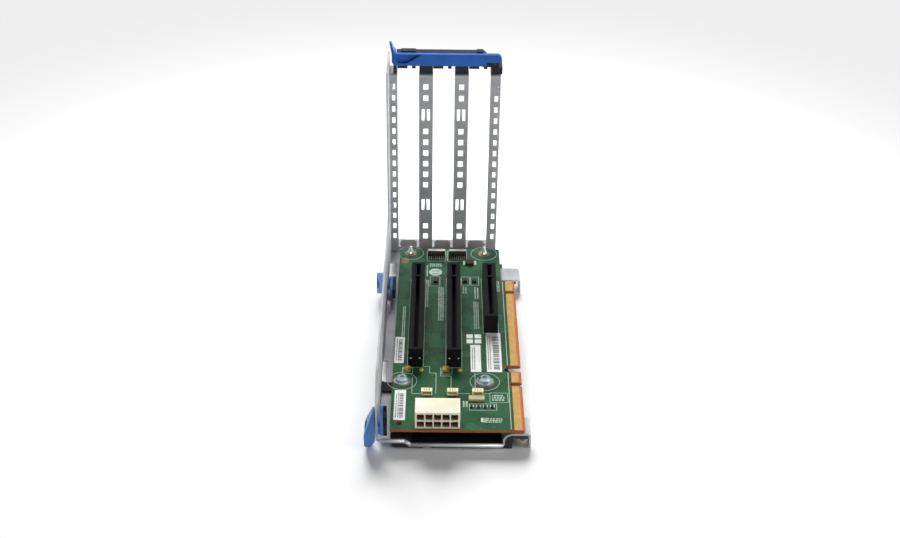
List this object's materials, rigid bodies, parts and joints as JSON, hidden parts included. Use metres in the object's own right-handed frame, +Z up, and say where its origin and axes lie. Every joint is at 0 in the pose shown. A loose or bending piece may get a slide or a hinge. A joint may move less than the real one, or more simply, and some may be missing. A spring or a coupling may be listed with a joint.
{
  "type": "riser cage bracket",
  "caption": "Steel riser cage for a rack server: riser board with three card slots, perforated bracket wall and a hinged blue card retainer.",
  "frame": {"origin": "bottom centre of the whole part, on the plane it rests on", "axes": "+X towards the board's contact edge, +Y towards the bracket wall, +Z up from the board towards the retainer"},
  "size_m": [0.0838, 0.2051, 0.141],
  "materials": {
    "galvanised_steel": "satin",
    "rivet_steel": "satin",
    "black_tray": "matte",
    "insert_brass": "satin",
    "black_plastic": "matte",
    "nylon_white": "satin",
    "board_green": "satin",
    "contact_gold": "polished",
    "slot_black": "satin",
    "cream_plastic": "satin",
    "pin_metal": "satin",
    "grey_plastic": "matte",
    "chip_black": "matte",
    "chip_white": "matte",
    "inductor_gold": "satin",
    "screw_steel": "satin",
    "touch_blue": "semi gloss",
    "latch_blue": "satin",
    "spring_steel": "dark satin"
  },
  "bodies": {
    "cage": {"cage_base": "galvanised_steel", "slot_wall": "galvanised_steel", "wall_rivets": "rivet_steel", "under_tray": "black_tray", "tray_rivets": "black_tray", "tab_insert": "insert_brass", "board_support": "black_plastic", "riser_board": "board_green", "edge_contacts": "contact_gold", "slot_1_housing": "slot_black", "slot_1_contacts": "contact_gold", "slot_2_housing": "slot_black", "slot_2_contacts": "contact_gold", "slot_3_housing": "slot_black", "slot_3_contacts": "contact_gold", "power_housing": "cream_plastic", "power_pins": "pin_metal", "small_headers": "cream_plastic", "small_header_pins": "pin_metal", "rear_connectors": "grey_plastic", "rear_connector_pins": "pin_metal", "board_chips": "chip_black", "chip_resistors": "chip_white", "gold_inductors": "inductor_gold", "board_screws": "screw_steel", "screw_washers": "screw_steel", "left_standoff": "screw_steel", "right_standoff": "screw_steel", "left_post": "nylon_white", "right_post": "nylon_white", "hinge_bracket": "black_plastic", "hinge_pin": "screw_steel"},
    "retainer": {"retainer_cover": "touch_blue", "retainer_clamp": "black_plastic"},
    "front_latch": {"front_latch_handle": "latch_blue", "front_latch_stud": "screw_steel", "front_latch_cam": "latch_blue", "front_latch_clip": "spring_steel"},
    "rear_latch": {"rear_latch_handle": "latch_blue", "rear_latch_stud": "screw_steel", "rear_latch_cam": "latch_blue", "rear_latch_clip": "spring_steel"}
  },
  "joints": [
    {"name": "retainer_hinge", "type": "hinge", "parent": "cage", "child": "retainer", "pos_m": [0.02455, 0.0919, 0.1282], "axis": [0, 1, 0], "range_deg": [0, 100]},
    {"name": "front_latch_turn", "type": "hinge", "parent": "cage", "child": "front_latch", "pos_m": [-0.03565, -0.0965, 0.0117], "axis": [1, 0, 0], "range_deg": [0, 75]},
    {"name": "rear_latch_turn", "type": "hinge", "parent": "cage", "child": "rear_latch", "pos_m": [-0.03565, 0.0397, 0.0117], "axis": [1, 0, 0], "range_deg": [-75, 0]}
  ]
}
